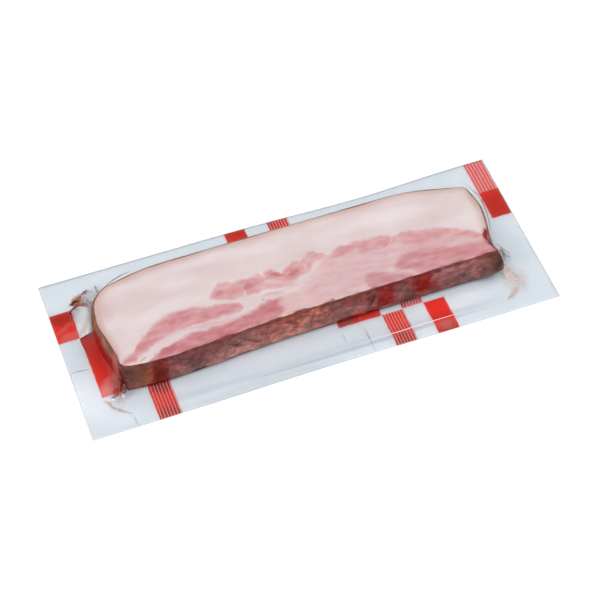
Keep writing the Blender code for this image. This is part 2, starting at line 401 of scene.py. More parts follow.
# Patches on the cut face: centre, radii in millimetres, turn in degrees, strength and colour.
FACE_PATCHES = (
    ("lighter fat, left", -84, -3, 28, 7, 14, 0.35, "#E6D8DA"),
    ("lighter fat along the rind", -40, 22, 60, 6, -3, 0.4, "#E4D7D6"),
    ("rosy fat, left", -98, 10, 16, 10, 10, 0.45, "#D9C0BE"),
    ("rosy fat at the left end", -112.5, 9, 6, 12, 6, 0.5, "#D2ABA7"),
    ("lean between the right bands", 78, -11.4, 24, 3.6, -9, 0.55, "#D19DA0"),
    ("rosy fat, middle", -20, 12, 26, 7, -4, 0.35, "#DDC6C3"),
    ("rosy lean between the left bands and the middle", -20, -14, 10, 2.6, -4, 0.6, "#CC9FA4"),
    ("lighter fat, right", 60, 16, 36, 9, -4, 0.6, "#EADFDE"),
    ("rosy seam between the left bands", -60, -21.2, 24, 1.9, -1, 0.8, "#D0A8AB"),
    ("deep lean in the upper left band", -79, -13, 4, 3, 20, 0.5, "#BF7070"),
    ("deep lean at its end", -60, -15, 3, 5, 0, 0.5, "#C47A80"),
    ("deep lean low in it", -99, -22, 7, 3, 32, 0.5, "#C47378"),
    ("lilac sinew in the fat", -65, -21.3, 6, 1.1, -2, 0.5, "#CDAFC0"),
    ("deep lean, lower left", -88, -30, 9, 3.4, 6, 0.55, "#B0616A"),
    ("deep lean, lower left end", -26, -22.4, 9, 4, 12, 0.35, "#B35A62"),
    ("pale lean past it", -14.5, -22, 6.5, 8.5, -12, 0.9, "#D9B3B3"),
    ("deep lean at the middle band's tip", -48, -3, 4.5, 3.4, 20, 0.5, "#BF7078"),
    ("deep lean, left of the inclusion", -31, -4, 5.5, 3.6, 15, 0.7, "#BC6A70"),
    ("pale inclusion", -18, -5.4, 8.5, 2.5, -20, 0.85, "#DDBAB4"),
    ("deep lean over it", -14, -1.4, 7, 1.9, -24, 0.7, "#BC6C6C"),
    ("deep lean, middle", -4.5, -4, 6, 3.4, 10, 0.75, "#BF6E6C"),
    ("pink lean under the inclusion", -14, -10.8, 12, 1.5, -6, 0.7, "#D6A6A6"),
    ("sinew in the left part", -34.6, -8, 1.0, 3.4, -24, 0.7, "#E2C4C2"),
    ("sinew at the notch", -21.2, 0.4, 0.7, 2.4, 0, 0.8, "#E6CCCA"),
    ("sinew in the middle", 3.2, -2, 0.7, 2.2, 0, 0.7, "#E0BDBB"),
    ("pale lean, lower middle", -5, -25, 11, 4.5, 0, 0.75, "#DDB9B7"),
    ("peach edge, lower middle", -14, -29.6, 14, 1.3, 0, 0.8, "#DFA893"),
    ("pale lean in the mixed part", 12, -6, 8, 5, 20, 0.6, "#DDB6B4"),
    ("mauve streak in the mixed part", 34, -14.6, 9, 0.9, -9, 0.45, "#C398A2"),
    ("deep lean in the upper right part", 30, 1.5, 8, 2.4, 0, 0.45, "#C4797A"),
    ("deep lean in the right part", 80, -6.5, 9, 3, -8, 0.25, "#C98481"),
    ("deep lean along the right part", 64, -16.5, 12, 3.4, -14, 0.4, "#BF7678"),
    ("lean, lower right", 92, -24, 16, 4, 0, 0.35, "#C27C7E"),
    ("grey spot in the fat", -102, -30.4, 2.8, 1.0, 5, 0.75, "#9A8586"),
    ("brown speck in the fat", -26.5, -16, 1.2, 0.7, 0, 0.7, "#A08078"),
)
# Patches laid last, over the tan of the rim.
RIM_PATCHES = (
    ("dark bump in the edge", 8, -29.8, 4.2, 2.2, 0, 0.9, "#6A3430"),
    ("blood spot at the right end", 108.2, -16.6, 2.6, 6.2, -16, 1.3, "#8A2C2B"),
    ("dried edge at the right end", 108.4, -24, 1.8, 7.5, 0, 1.0, "#6E3230"),
    ("tan skin at the right end", 111.4, 8, 2.6, 9, 0, 0.6, "#C2A78C"),
    ("rosy skin at the left end", -116.2, 2, 2.4, 12, -6, 0.2, "#C48C80"),
)
# The box over the cut face that its bands and seams are drawn in, in millimetres.
FACE_LEFT, FACE_LONG = -120.0, 240.0
FACE_NEAR, FACE_WIDE = -40.0, 80.0
# The height of the cut face, round which its patches are drawn.
FACE_LEVEL = 25.0


def drawn_line(tree, along, points, end_drop):
    """Height of a line over the cut face, as a share of its width. The line drops away past its ends."""
    (first_x, first_y), (last_x, last_y) = points[0], points[-1]
    ended = ((first_x - 2.5, first_y - end_drop), *points, (last_x + 2.5, last_y - end_drop))
    shares = [((x - FACE_LEFT) / FACE_LONG, (y - FACE_NEAR) / FACE_WIDE) for x, y in ended]
    return add(tree, "FloatCurve", named={"Value": along}, points=shares)


def past_line(tree, high, low, softness):
    """0 where high is under low and 1 where it is over it, over a soft edge in millimetres."""
    height = add(tree, "Math", high, low, operation="SUBTRACT")
    edge = softness / FACE_WIDE
    return add(tree, "MapRange", height, -edge, edge, interpolation_type="SMOOTHSTEP")


def cured_belly():
    """Cut face of cured pork belly: waxy pinkish white fat and moist rose lean in soft-edged bands,
    with a tan smoked rim and the brown line of the rind. Film clings to it, so it has little gloss
    of its own."""
    material, tree, shader = new_material("cured_belly_cut_face")
    place = add(tree, "TexCoord").outputs["Object"]
    moved = wandering(tree, place, ((7.0, 5.0), (2.0, 2.2), (0.8, 0.8)))
    axes = add(tree, "SeparateXYZ", moved)
    along = add(tree, "MapRange", axes.outputs["X"], FACE_LEFT * MM, (FACE_LEFT + FACE_LONG) * MM)
    across = add(tree, "MapRange", axes.outputs["Y"], FACE_NEAR * MM, (FACE_NEAR + FACE_WIDE) * MM)

    grain = math.radians(4.0)
    drawn_out = add(tree, "Mapping", place, (0.0, 0.0, 0.0), (0.0, 0.0, grain), (0.45, 1.1, 1.0))
    fat = add(tree, "TexNoise", named={"Vector": drawn_out, "Scale": 1.0 / (14.0 * MM), "Detail": 5.0})
    colour = add(tree, "ValToRGB", fat, stops=((0.33, "#D7C0BE"), (0.5, "#DCC8C6"), (0.68, "#E2D2D0")))
    mottle = add(tree, "TexNoise", named={
        "Vector": drawn_out, "Scale": 1.0 / (4.2 * MM), "Detail": 4.0, "Roughness": 0.5})
    depth_of_tone = add(tree, "MapRange", mottle, 0.3, 0.7)
    for _, upper, lower, softness, strength, pale, deep in LEAN_BANDS:
        below_upper = past_line(tree, drawn_line(tree, along, upper, 6.0), across, softness)
        above_lower = past_line(tree, across, drawn_line(tree, along, lower, -6.0), softness)
        inside = add(tree, "Math", below_upper, above_lower, operation="MULTIPLY")
        uneven = add(tree, "MapRange", mottle, 0.3, 0.6, 0.82 * strength, strength)
        share = add(tree, "Math", inside, uneven, operation="MULTIPLY")
        tone = overlaid(tree, linear(pale), depth_of_tone, linear(deep))
        colour = overlaid(tree, colour, share, tone)
    for points, half_width, strength in FAT_SEAMS:
        apart = add(tree, "Math", across, drawn_line(tree, along, points, 30.0), operation="SUBTRACT")
        apart = add(tree, "Math", apart, operation="ABSOLUTE")
        reach = 1.6 * half_width / FACE_WIDE
        share = add(tree, "MapRange", apart, 0.0, reach, strength, 0.0, interpolation_type="SMOOTHSTEP")
        colour = overlaid(tree, colour, share, linear("#DABFBD"))
    colour = patched(tree, colour, moved, FACE_LEVEL, FACE_PATCHES)

    inward = add(tree, "Attribute", attribute_name="inward").outputs["Fac"]
    tanned = add(tree, "Attribute", attribute_name="tanned").outputs["Fac"]
    # The rim: tan and brown from the smoke all round, and a ragged crust along the ribs.
    depth = add(tree, "Math", fat, 3.0, inward, operation="MULTIPLY_ADD")
    tan = add(tree, "MapRange", depth, 2.4, 8.2, 0.8, 0.0, interpolation_type="SMOOTHSTEP")
    tan = add(tree, "Math", tan, tanned, operation="MULTIPLY")
    colour = overlaid(tree, colour, tan, linear("#CAA598"))
    brown = add(tree, "MapRange", depth, 2.2, 3.2, 1.0, 0.0, interpolation_type="SMOOTHSTEP")
    brown = add(tree, "Math", brown, tanned, operation="MULTIPLY")
    colour = overlaid(tree, colour, brown, linear("#7A4A36"))
    ribs = add(tree, "Math", 1.0, tanned, operation="SUBTRACT")
    ragged = add(tree, "MapRange", mottle, 0.35, 0.65, -0.1, 1.1)
    crust = add(tree, "Math", ragged, inward, operation="SUBTRACT")
    crust = add(tree, "MapRange", crust, -0.35, 0.35)
    crust = add(tree, "Math", crust, ribs, operation="MULTIPLY")
    colour = overlaid(tree, colour, crust, linear("#7A3A36"))
    colour = patched(tree, colour, moved, FACE_LEVEL, RIM_PATCHES)
    tree.links.new(colour.outputs[2], shader.inputs["Base Color"])
    shader.inputs["Roughness"].default_value = 0.42
    shader.inputs["IOR"].default_value = 1.2
    shader.inputs["Subsurface Weight"].default_value = 0.12
    shader.inputs["Subsurface Scale"].default_value = 2.0 * MM
    bump = add(tree, "Bump", named={"Height": mottle, "Strength": 0.25, "Distance": 0.2 * MM})
    tree.links.new(bump.outputs[0], shader.inputs["Normal"])
    return material


# Patches on the rib side's bark: centre along and up, radii in millimetres, turn, strength, colour.
# The dark patches on its creases and its cleft are painted shade.
BARK_PATCHES = (
    ("left edge", -113.4, 13, 1.8, 15, 0, 0.85, "#33161A"),
    ("mauve at the left", -109.2, 13, 3, 11, 0, 0.5, "#6A363A"),
    ("orange brown at the left", -102.5, 12, 3.4, 10, 0, 0.6, "#9C4A26"),
    ("first upright crease", -74.8, 12, 2.6, 13, -6, 0.7, "#5C3A34"),
    ("second upright crease", -70.6, 11, 2.2, 12, 10, 0.6, "#553030"),
    ("dark beside them", -68, 12, 3.2, 10, 0, 0.45, "#6E3234"),
    ("dark foot below them", -71, 2, 6, 2.2, 0, 0.95, "#30141A"),
    ("slanted crease", -50, 16, 6.5, 2.1, 32, 0.85, "#652C2C"),
    ("long slanted crease", -38, 13, 9, 2.1, 38, 0.7, "#7A3A34"),
    ("dark top edge", -35, 22, 6, 3.0, 0, 0.4, "#8A4642"),
    ("mauve meat", -56, 12, 4.5, 7, 0, 0.4, "#B07070"),
    ("olive spot", -31, 8, 3, 3, 0, 0.4, "#9A6A4E"),
    ("pink meat", -26, 15, 3.5, 8, 0, 0.4, "#C87870"),
    ("orange brown, middle", -14, 21.5, 10, 3.5, 0, 0.6, "#A4402C"),
    ("slanted crease, middle", -15, 18, 8, 1.6, 30, 0.85, "#782A24"),
    ("pink meat, middle", -15, 9, 8, 4.5, 0, 0.4, "#D08478"),
    ("pale streak", -7, 15, 2.1, 6, -5, 0.65, "#CA9682"),
    ("thin upright crease", -3.5, 13, 1.3, 9, 0, 0.8, "#743430"),
    ("orange brown, right of it", 2.5, 22, 3.8, 3.5, 0, 0.6, "#B45438"),
    ("dark lump", 9, 20, 3.4, 5.5, 0, 0.65, "#5E3632"),
    ("dark red top", 22, 21, 9, 3.5, 0, 0.6, "#9C3430"),
    ("pale slanted band", 24, 13, 13, 2, 24, 0.6, "#BC8278"),
    ("nearly black foot", 18, 5, 7.5, 2.8, 0, 0.75, "#3A1812"),
    ("red foot", 32, 5, 6, 2.2, 0, 0.6, "#8A2420"),
    ("cleft", 34, 16, 1.9, 11, 14, 0.95, "#4E1614"),
    ("mauve meat, right", 51, 15, 5.5, 6.5, 0, 0.45, "#A06A68"),
    ("dark foot, right", 57, 6, 11, 4.6, 0, 0.85, "#5A2622"),
    ("dark red meat", 72, 12, 4.5, 7, 0, 0.4, "#783434"),
    ("pink top, right", 78, 21, 7, 3.5, 0, 0.5, "#B6706C"),
    ("dark spot, right", 89, 14, 3.2, 5, 0, 0.55, "#5A342E"),
    ("pink spot, right", 95, 14, 2.6, 6.5, 0, 0.45, "#B07470"),
    ("dark blotches", 102, 13, 3.2, 9, 0, 0.45, "#6A342C"),
    ("right end", 111.5, 13, 4.2, 15, 0, 0.85, "#30160F"),
)


def smoked_bark():
    """Dried, smoked outside of the belly: mauve-brown meat with orange-brown fat showing through,
    mottled and darkest at the two ends, with painted shade in its creases, and an amber leathery
    rind at the back."""
    material, tree, shader = new_material("smoked_bark")
    place = add(tree, "TexCoord").outputs["Object"]
    moved = wandering(tree, place, ((7.0, 4.5), (1.8, 1.4)))
    axes = add(tree, "SeparateXYZ", moved)
    along = add(tree, "MapRange", axes.outputs["X"], -120.0 * MM, 120.0 * MM)
    rise = add(tree, "MapRange", axes.outputs["Z"], 6.0 * MM, 20.0 * MM)
    upper = add(tree, "ValToRGB", along, stops=(
        (0.02, "#5A2A28"), (0.08, "#86442E"), (0.14, "#8A4646"), (0.21, "#824242"), (0.28, "#93504D"),
        (0.33, "#A66660"), (0.38, "#A85C52"), (0.43, "#B4604E"), (0.50, "#BC6A58"), (0.55, "#92524A"),
        (0.62, "#964640"), (0.70, "#984A49"), (0.76, "#99483F"), (0.82, "#AC6A68"), (0.90, "#A9665F"),
        (0.95, "#784636"), (0.985, "#4A2824")))
    lower = add(tree, "ValToRGB", along, stops=(
        (0.02, "#6A3232"), (0.06, "#A0563A"), (0.12, "#9A4C44"), (0.17, "#C0706A"), (0.20, "#A25C54"),
        (0.26, "#D68A82"), (0.32, "#DE948A"), (0.37, "#C87A68"), (0.43, "#E08E80"), (0.51, "#C06C62"),
        (0.58, "#BE7268"), (0.65, "#A85850"), (0.71, "#A85C56"), (0.77, "#94443E"), (0.83, "#98504A"),
        (0.91, "#A05A50"), (0.96, "#6A362C")))
    colour = overlaid(tree, lower, rise, upper)
    for _, x, z, half_long, half_high, turn, strength, tone in BARK_PATCHES:
        share = soft_oval(
            tree, moved, (x, -32.0, z), (half_long, 30.0, half_high), (0.0, turn, 0.0), strength)
        colour = overlaid(tree, colour, share, linear(tone))
    height = add(tree, "SeparateXYZ", moved).outputs["Z"]
    top_line = add(tree, "MapRange", height, 22.4 * MM, 24.2 * MM, 0.0, 0.75)
    colour = overlaid(tree, colour, top_line, linear("#662824"))
    foot_line = add(tree, "MapRange", height, 1.2 * MM, 3.4 * MM, 0.8, 0.0)
    colour = overlaid(tree, colour, foot_line, linear("#32161A"))

    # The rind at the back, and the smoked fat of the two ends.
    rind = add(tree, "Attribute", attribute_name="rind").outputs["Fac"]
    patches = add(tree, "TexNoise", named={"Vector": place, "Scale": 1.0 / (9.0 * MM), "Detail": 4.0})
    skin = add(tree, "ValToRGB", patches, stops=((0.3, "#7A4E38"), (0.5, "#8E5E42"), (0.7, "#A0704C")))
    colour = overlaid(tree, colour, rind, skin)
    tanned = add(tree, "Attribute", attribute_name="tanned").outputs["Fac"]
    at_ends = add(tree, "Math", tanned, rind, operation="SUBTRACT")
    at_ends = add(tree, "Math", at_ends, 0.85, operation="MULTIPLY")
    colour = overlaid(tree, colour, at_ends, linear("#9C6040"))
    # Mottling about 4.5 mm across, and meat fibres about 1 mm wide that run at a slant.
    mottle = add(tree, "TexNoise", named={
        "Vector": place, "Scale": 1.0 / (4.5 * MM), "Detail": 5.0, "Roughness": 0.55})
    slant = math.radians(-32.0)
    slanted = add(tree, "Mapping", place, (0.0, 0.0, 0.0), (0.0, slant, 0.0), (0.3, 1.0, 1.0))
    strands = add(tree, "TexNoise", named={"Vector": slanted, "Scale": 1.0 / (1.1 * MM), "Detail": 3.0})
    tones = add(tree, "SeparateColor", mottle.outputs["Color"])
    olive = add(tree, "MapRange", tones.outputs[1], 0.5, 0.64, 0.0, 0.4)
    colour = overlaid(tree, colour, olive, linear("#86603F"))
    wine = add(tree, "MapRange", tones.outputs[2], 0.5, 0.64, 0.0, 0.4)
    colour = overlaid(tree, colour, wine, linear("#70343A"))
    evenness = add(tree, "MapRange", rind, named={3: 0.66, 4: 0.86})
    shade = add(tree, "MapRange", mottle, 0.36, 0.64, evenness, 1.40)
    fine_shade = add(tree, "MapRange", strands, 0.35, 0.65, 0.74, 1.28)
    shade = add(tree, "Math", shade, fine_shade, operation="MULTIPLY")
    colour = add(tree, "VectorMath", colour, named={"Scale": shade}, operation="SCALE")
    tree.links.new(colour.outputs[0], shader.inputs["Base Color"])
    shader.inputs["Roughness"].default_value = 0.5
    shader.inputs["IOR"].default_value = 1.2
    bump = add(tree, "Bump", named={"Height": mottle, "Strength": 0.5, "Distance": 0.6 * MM})
    tree.links.new(bump.outputs[0], shader.inputs["Normal"])
    return material


slab_outline = rounded(SLAB_CORNERS)
slab_rows = [slab_section(section) for section in sections_round(slab_outline, *SLAB_STEPS)]
slab_form = skin_of_loops(slab_rows, ("inward", "rind", "tanned"))
for face in slab_form.faces:
    height = face.calc_center_median().z
    face.material_index = int(abs(face.normal.z) < 0.75 and SLAB_BOTTOM < height < SLAB_TOP)
slab = finished_piece("bacon_slab", slab_form, (cured_belly(), smoked_bark()))
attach(slab, "root")
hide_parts("sealed_pack")

# ------------------------------------------------------------------------------------------------
# The front film: the clear upper web of the pouch, polyamide over polyethylene, drawn down tight on
# the slab by the vacuum. It bridges the slab's foot in a small hollow, stands off the corners in
# taut panels and folds, and is printed inside with red blocks and stripes round a clear window.
# ------------------------------------------------------------------------------------------------
FILM_STEPS = (160, 76)
WINDOW_LOOPS = 8
FILM_RIM_LOOPS = 4
FILM_WALL_LOOPS = 10
FILM_FOOT_LOOPS = 12
MARGIN_LOOPS = 12
MARGIN_HEIGHT = 0.5 * MM
FOOT_REACH = 2.2 * MM
FOOT_RISE = 2.0 * MM
FOOT_HOLLOW = 1.7
TIGHTNESS = 0.15 * MM
DEEPEST_CLING = -0.4 * MM

# Where the film stands further off the slab, in millimetres: place on the pouch's edge, spread,
# further reach and further rise, and how much more hollow (or, below 0, straighter) its slope is.
FILM_TENTS = (
    ("left end panel", (-140.0, 15.0), 19.0, 7.0, 22.0, -0.65),
    ("far left corner", (-140.0, 53.0), 15.0, 13.0, 21.0, 0.5),
    ("far left shoulder", (-117.0, 55.0), 12.0, 9.0, 18.0, 0.3),
    ("near left corner", (-140.0, -50.0), 13.0, 6.0, 6.0, 0.6),
    ("near right corner", (140.0, -42.0), 14.0, 6.0, 9.0, 0.5),
    ("far right corner", (140.0, 48.0), 16.0, 9.0, 20.0, 0.3),
    ("far right shoulder", (108.0, 55.0), 16.0, 3.0, 15.0, 0.0),
    ("right end", (140.0, 8.0), 24.0, 2.5, 6.0, 0.0),
)
# Folds standing up from the film: points along the crest, with its height, and the fold's width.
FOLDS = (
    ("ear, arc", ((-117.9, 12.7, 25), (-119.6, 15.5, 23.5), (-121.1, 19, 21), (-122.7, 22.8, 17.5),
     (-123.9, 25.8, 14), (-125.3, 28.5, 10), (-126.4, 30.3, 6), (-127.6, 31.1, 3), (-129.5, 31.5, 1)),
     1.3),
    ("ear, middle fold", ((-114.8, 19.8, 22), (-117.4, 24, 16), (-117.2, 28, 13), (-117.1, 32.4, 10),
     (-117.8, 38, 5), (-121, 44, 1)), 1.3),
    ("ear, far fin", ((-111.1, 22.4, 24.5), (-110.6, 28.9, 18), (-110.2, 35, 12), (-109.7, 41.5, 6),
     (-109, 46, 1)), 1.2),
    ("ear, first crumple", ((-121, 38.6, 1), (-118.4, 40.3, 3.4), (-114.4, 41, 5), (-112, 40, 3)), 0.8),
    ("ear, second crumple", ((-119, 37, 3), (-117.1, 37.9, 5.5), (-113.9, 38.9, 7), (-111, 38.6, 5)),
     0.8),
    ("near left crease", ((-129, -30.5, 0.8), (-127, -32.8, 1.0), (-124.9, -35.6, 1.3),
     (-124, -39, 1.4), (-121.4, -41.1, 1.4), (-118.6, -43.2, 1.2), (-115.8, -45.2, 1.0),
     (-113.9, -46.4, 0.8)), 0.9),
    ("near left corner fold", ((-113.6, -31.6, 14), (-115.6, -33.4, 8), (-118.4, -36.4, 3.5),
     (-121, -39.5, 1.2)), 1.2),
    ("near left end fold", ((-116.2, -27, 12), (-119, -29.5, 6), (-123, -32, 1.5)), 1.0),
    ("near right corner fold", ((113, -29.5, 16), (116.6, -27.9, 9), (119, -30, 5),
     (121.3, -33.5, 2.2), (122.6, -37.4, 1.5), (122, -40.5, 1.2), (118, -42.9, 1.1),
     (112.7, -46, 0.9)), 1.1),
    ("near right end fold", ((114.9, -23.2, 19), (117.5, -22.4, 15), (121.9, -21.3, 8),
     (124.6, -20.6, 3), (128, -20, 1)), 1.1),
    ("left margin", ((-127, -8.6, 1.0), (-134, -9.2, 1.1), (-140, -9.6, 0.9)), 0.5),
    ("near margin", ((26, -36, 0.9), (26.2, -46, 1.2), (26, -55, 0.9)), 0.45),
    ("near left margin", ((-113.8, -47.5, 0.8), (-114.4, -55, 0.9)), 0.45),
)
# Crumpled patches that need a finer mesh: centre and radius in millimetres.
CRUMPLES = (((-119.0, 31.0), 17.0), ((-119.0, -36.0), 12.0), ((119.0, -33.0), 12.0), ((118.0, 26.0), 14.0))


def tent_size(edge_point):
    """How far the film reaches out from the slab's side, how high up it leaves it, and how hollow
    it hangs."""
    reach, rise, hollow = FOOT_REACH, FOOT_RISE, FOOT_HOLLOW
    for _, place, spread, more_reach, more_rise, more_hollow in FILM_TENTS:
        share = bell((edge_point / MM - Vector(place)).length, spread)
        reach += share * more_reach * MM
        rise += share * more_rise * MM
        hollow += share * more_hollow
    return reach, rise, hollow


def margin_height(point):
    """Height of the flat margin, with its waves and the long soft curl along the rib side."""
    x, y = point.x / MM, point.y / MM
    swell = noise.noise(Vector((x / 30.0, y / 18.0, 3.0)))
    ripple = noise.noise(Vector((x / 9.0, y / 5.0, 8.0)))
    crest = -47.0 + 0.8 * math.sin(x / 31.0)
    along = smooth((x + 112.0) / 30.0) * smooth((122.0 - x) / 40.0)
    curl = bell(y - crest, 2.4 if y > crest else 5.0) * along
    return MARGIN_HEIGHT + (0.35 * max(0.0, swell) + 0.07 * ripple + 0.55 * curl) * MM


def raised_to_folds(point):
    """The height of a point of the film once the folds that pass near it stand up."""
    here, height = Vector((point.x, point.y)) / MM, point.z / MM
    for _, crest, width in FOLDS:
        nearest, crest_height = 1000.0, 0.0
        for start, end in zip(crest, crest[1:]):
            run = Vector(end[:2]) - Vector(start[:2])
            t = max(0.0, min(1.0, (here - Vector(start[:2])).dot(run) / run.length_squared))
            apart = (here - Vector(start[:2]) - run * t).length
            if apart < nearest:
                nearest, crest_height = apart, start[2] + (end[2] - start[2]) * t
        if nearest < 6.0 * width:
            wobble = 0.1 * noise.noise(Vector((here.x / 2.5, here.y / 2.5, 6.0)))
            height += max(0.0, crest_height - height) * math.exp(-max(0.0, nearest + wobble) / width)
    return height * MM


# What each point of the film knows in millimetres: its place on the film laid flat, and how far it
# is past the window's edge, out from the slab's side and in from the pouch's edge.
FILM_PLACES = ("flat_x", "flat_y", "past_window", "off_slab", "to_rim")


def film_section(section):
    """Points from the middle of the window out to the pouch's edge, with their place on the film
    laid flat."""
    origin, direction, to_slab, to_edge = section
    edge_point = origin + direction * to_edge
    radius = rim_radius(direction)
    clear = FILM_THICKNESS + TIGHTNESS
    flat = to_slab - radius
    path = [(flat * k / WINDOW_LOOPS, SLAB_TOP + clear) for k in range(WINDOW_LOOPS)]
    path += rim_arc(flat, radius + clear, SLAB_TOP + clear, FILM_RIM_LOOPS)
    start = path[-1][1]
    reach, rise, hollow = tent_size(edge_point)
    rise = min(rise, start - 0.5 * MM)
    for k in range(1, FILM_WALL_LOOPS + 1):
        z = start + (rise - start) * k / FILM_WALL_LOOPS
        share = (start - z) / (start - SLAB_BOTTOM)
        path.append((to_slab + wall_offset(origin, direction, share) + clear, z))
    wall = path[-1][0]
    foot = wall + reach
    foot_height = margin_height(origin + direction * foot)
    for k in range(1, FILM_FOOT_LOOPS + 1):
        share = k / FILM_FOOT_LOOPS
        path.append((wall + share * reach, foot_height + (rise - foot_height) * (1 - share) ** hollow))
    for k in range(1, MARGIN_LOOPS + 1):
        out = foot + (to_edge - foot) * k / MARGIN_LOOPS
        path.append((out, margin_height(origin + direction * out)))

    points = []
    for k, (out, z) in enumerate(path):
        point = Vector((*(origin + direction * out), z))
        if k <= WINDOW_LOOPS:
            point.z += face_swell(point, to_slab - out)
        elif out < wall or z > rise:
            relief = max(bark_relief(point), DEEPEST_CLING) + TIGHTNESS
            point += direction.to_3d() * relief * on_side(z)
        points.append(point)
    row = []
    along_film = to_edge
    for k in range(len(points) - 1, -1, -1):
        laid = (origin + direction * along_film) / MM
        past_window = max(path[k][0] - flat, SLAB_TOP - path[k][1]) / MM
        off_slab = max(0.0, (path[k][0] - wall) / MM)
        to_rim = (to_edge - path[k][0]) / MM
        row.append((points[k], (laid.x, laid.y, past_window, off_slab, to_rim)))
        if k > 0:
            along_film -= (points[k] - points[k - 1]).length
    return row[::-1]


def see_through(name):
    """A material of this name with no shader yet, for film and juice, and its node tree."""
    material, tree, shader = new_material(name)
    tree.nodes.remove(shader)
    return material, tree


def surfaced(material, surface):
    """The material with this shader as its surface."""
    output = material.node_tree.nodes["Material Output"]
    material.node_tree.links.new(surface.outputs[0], output.inputs["Surface"])
    return material


def clear_film(tree, tint, milk, milk_share):
    """Clear film without its gloss: faintly tinted, with a little milkiness."""
    through = add(tree, "BsdfTransparent", tint)
    body = add(tree, "BsdfDiffuse", milk)
    return add(tree, "MixShader", milk_share, through, body)


# The colour that the film's slight milkiness gives it.
MILKINESS = "#EAEEF2"
# The print in millimetres: whether it lies at an end or along a side, from x to x, from y to y, its
# stripes (0 is solid), the softness of its edges and its strength. Distances in from the pouch's edge
# run over the film laid flat, and at the ends the film has been drawn towards the ribs as it rises.
DRAWN_TOWARDS_RIBS = 0.55
PRINTED_BLOCKS = (
    ("end", -140.0, -127.2, 13.0, 33.5, 0, 0.2, 1.0),
    ("end", -127.2, -84.0, -30.0, 12.5, 0, 0.2, 1.0),
    ("side", -101.6, -88.8, -56.0, -30.0, 7, 0.2, 1.0),
    ("side", -97.8, -89.0, -31.0, 0.0, 0, 1.0, 0.5),
    ("side", 12.6, 26.0, -32.0, -25.6, 0, 0.3, 1.0),
    ("side", 26.0, 38.4, -32.0, -27.0, 0, 0.3, 1.0),
    ("side", 39.0, 51.7, -56.0, -32.2, 7, 0.2, 1.0),
    ("side", 51.6, 64.5, -31.6, -28.2, 7, 0.2, 1.0),
    ("side", 64.5, 77.3, -56.0, -32.2, 0, 0.2, 1.0),
    ("side", 36.2, 46.0, -24.0, 0.0, 0, 1.0, 0.5),
    ("side", 57.0, 68.5, -20.0, 0.0, 0, 1.0, 0.6),
    ("side", -26.6, -13.9, 48.0, 56.0, 0, 0.2, 1.0),
    ("side", 0.0, 12.6, 48.0, 56.0, 7, 0.2, 1.0),
    ("end", 127.3, 139.6, 31.8, 56.0, 6, 0.2, 0.8),
    ("end", 127.3, 139.6, 11.3, 31.8, 0, 0.2, 1.0),
)
# The height in millimetres round which the film's patches and marks are drawn.
MARGIN_LEVEL = 5.0
# Where the ink looks paler, under haze on the film and, on the left end block, under a painted
# highlight of glare: centre and radii in millimetres, turn, strength.
HAZE_AND_GLARE = (
    ("lower part of the left block", -132, 15.5, 10, 5, 12, 0.22),
    ("streak over the left block", -134, 22, 10, 2.4, 30, 0.16),
    # Painted highlight on the left end block.
    ("glare on the left end block", -121.5, -21, 8, 3.4, 35, 0.3),
    ("foot of the left end block", -122, -27.5, 9, 6.5, 10, 0.44),
    ("near foot block", 18, -29.5, 8, 4, 0, 0.15),
    ("near striped foot block", 58, -30, 8, 4, 0, 0.2),
    ("crumpled corner over the slab's left end", -116.0, -24, 4.0, 9, -8, 0.8),
    ("left end wall", -117.6, -8, 3.0, 13, 0, 0.2),
    ("outer part of the near block", 71, -51, 7, 5, 0, 0.25),
)
# Where the ink is darkened: over the bark, the deeper red of ink on dark meat; elsewhere painted
# shade on the blocks in the margin and by the slab, deepest on the outer parts of the near
# blocks, where the film curls down.
INK_DEPTH_AND_SHADE = (
    ("left block", -135, 30, 12, 8, 0, 0.8),
    ("left end block by the slab", -119, 8, 6, 8, 0, 0.8),
    ("near striped block, outer part", -95, -53, 12, 8, 0, 0.9),
    ("near left foot block", 17, -29, 12, 5, 0, 1.0),
    ("near striped block on the right, outer part", 45, -53, 12, 8, 0, 0.9),
    ("near block, outer part", 71, -54, 10, 7, 0, 0.8),
    ("on the bark, left", -93, -33, 12, 8, 0, 1.0),
    ("on the bark, right", 50, -28, 26, 3.4, 0, 1.0),
    ("far blocks", -8, 53, 30, 6, 0, 0.6),
    ("right block, lower part", 136, 19, 16, 18, 0, 0.5),
)
